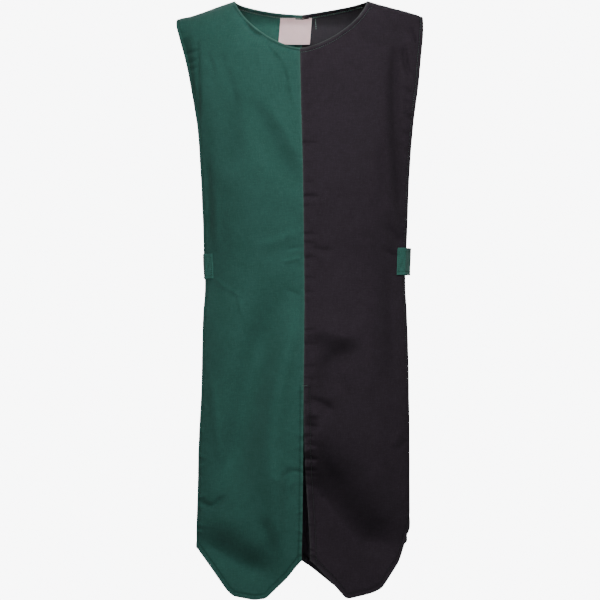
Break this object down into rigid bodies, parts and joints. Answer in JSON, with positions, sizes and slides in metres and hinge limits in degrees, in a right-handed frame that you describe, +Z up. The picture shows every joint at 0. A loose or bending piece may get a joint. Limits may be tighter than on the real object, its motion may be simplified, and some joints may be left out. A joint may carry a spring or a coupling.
{
  "type": "tabard",
  "caption": "Sleeveless costume tabard in green and black halves, open at the sides, with round neck, side tabs, front slit and pointed tails.",
  "frame": {"origin": "middle of the neck opening, level with the points where neck and shoulders meet, where the wearer's shoulders hold the garment", "axes": "+Z up, +X to the wearer's left, the front faces -Y; the ridge of the shoulders lies in the plane Y = 0"},
  "size_m": [0.4535, 0.2178, 1.0949],
  "materials": {
    "green_twill": "bottle green cotton twill, matt, lightly brushed",
    "black_twill": "black cotton twill, matt, lightly brushed",
    "label_satin": "pale woven label tape, slight sheen, bare"
  },
  "bodies": {
    "root": {"front_green": "green_twill", "front_black": "black_twill", "back_green": "green_twill", "back_black": "black_twill", "tab_right": "green_twill", "tab_left": "green_twill", "neck_label": "label_satin"}
  },
  "joints": []
}
